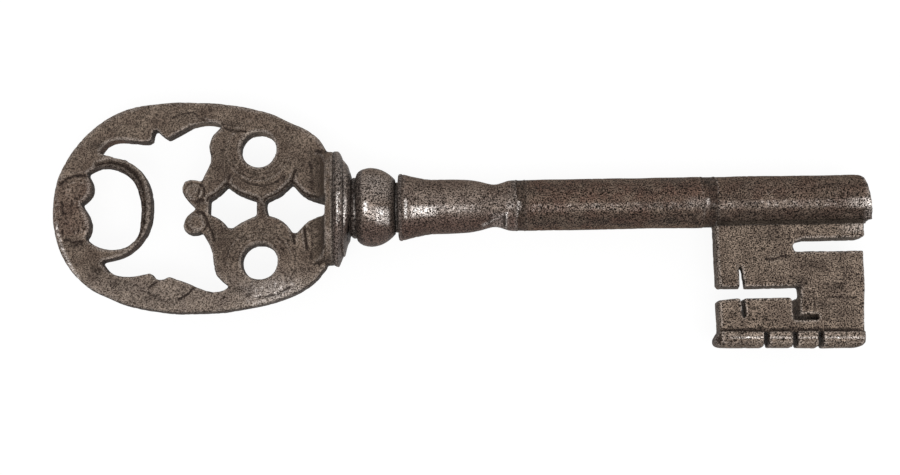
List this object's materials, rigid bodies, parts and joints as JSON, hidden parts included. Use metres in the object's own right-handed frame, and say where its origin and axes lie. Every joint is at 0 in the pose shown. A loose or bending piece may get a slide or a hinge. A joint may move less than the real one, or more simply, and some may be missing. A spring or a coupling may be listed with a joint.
{
  "type": "openwork ring key",
  "caption": "Forged iron barrel key with a pierced oval bow, turned collar and knop, hollow shank and a warded bit with a slit toe.",
  "frame": {"origin": "under the middle of the key's outer size, at the height of its lowest point, the rim of the base collar, with the key lying flat", "axes": "+X along the stem from the bow to the mouth of the barrel, -Y the way the bit hangs, +Z out of the decorated face"},
  "size_m": [0.1498, 0.0474, 0.0166],
  "materials": {
    "forged_iron": "dark hand-forged iron, pitted and rubbed bright on its edges",
    "worn_iron": "turned iron worn smooth, brighter on its crowns",
    "rusted_iron": "dark iron with a brown rust tint",
    "braze": "dark, dull braze line"
  },
  "bodies": {
    "root": {"bow": "forged_iron", "base_collar": "worn_iron", "collar_disc": "worn_iron", "collar_bead": "worn_iron", "knop": "worn_iron", "knop_washer": "braze", "neck_socket": "worn_iron", "neck_braze": "braze", "shank_tube": "rusted_iron", "barrel_braze": "braze", "bit_barrel": "forged_iron", "bit": "forged_iron", "bit_braze_front": "braze", "bit_braze_back": "braze"}
  },
  "joints": []
}
